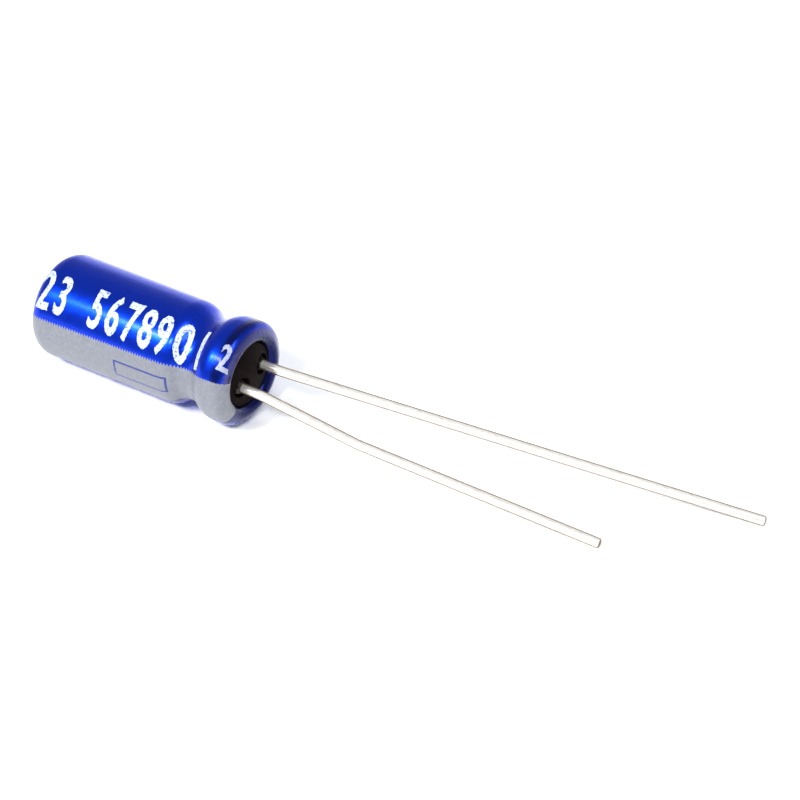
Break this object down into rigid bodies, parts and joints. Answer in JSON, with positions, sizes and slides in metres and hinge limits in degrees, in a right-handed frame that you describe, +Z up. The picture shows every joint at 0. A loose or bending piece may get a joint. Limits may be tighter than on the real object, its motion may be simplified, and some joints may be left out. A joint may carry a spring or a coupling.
{
  "type": "electrolytic capacitor",
  "caption": "Radial electrolytic capacitor lying on its side: crimped can in a printed blue film, rubber seal, and stiff wire leads splayed and cut to different lengths.",
  "frame": {"origin": "centre of the seating plane, where the crimped lip's face would meet a board, on the can's axis", "axes": "+X along the can's axis toward the leads, +Z up as the capacitor lies on a bench"},
  "size_m": [0.0364, 0.0092, 0.0052],
  "materials": {
    "film": "glossy blue shrink film, with a pale grey stripe and white print",
    "can": "drawn, bright",
    "seal": "moulded, matt black",
    "tab": "bright drawn rod, pressed flat",
    "lead": "bright tin plate on steel wire",
    "paper": "electrolyte-soaked tissue",
    "anode_foil": "etched, matt",
    "cathode_foil": "satin",
    "tape": "thin film tape"
  },
  "bodies": {
    "root": {"sleeve": "film", "can": "can", "rubber_seal": "seal", "anode_tab": "tab", "cathode_tab": "tab", "anode_lead": "lead", "cathode_lead": "lead", "inner_separator": "paper", "anode_foil": "anode_foil", "outer_separator": "paper", "cathode_foil": "cathode_foil", "closing_tape": "tape"}
  },
  "joints": []
}
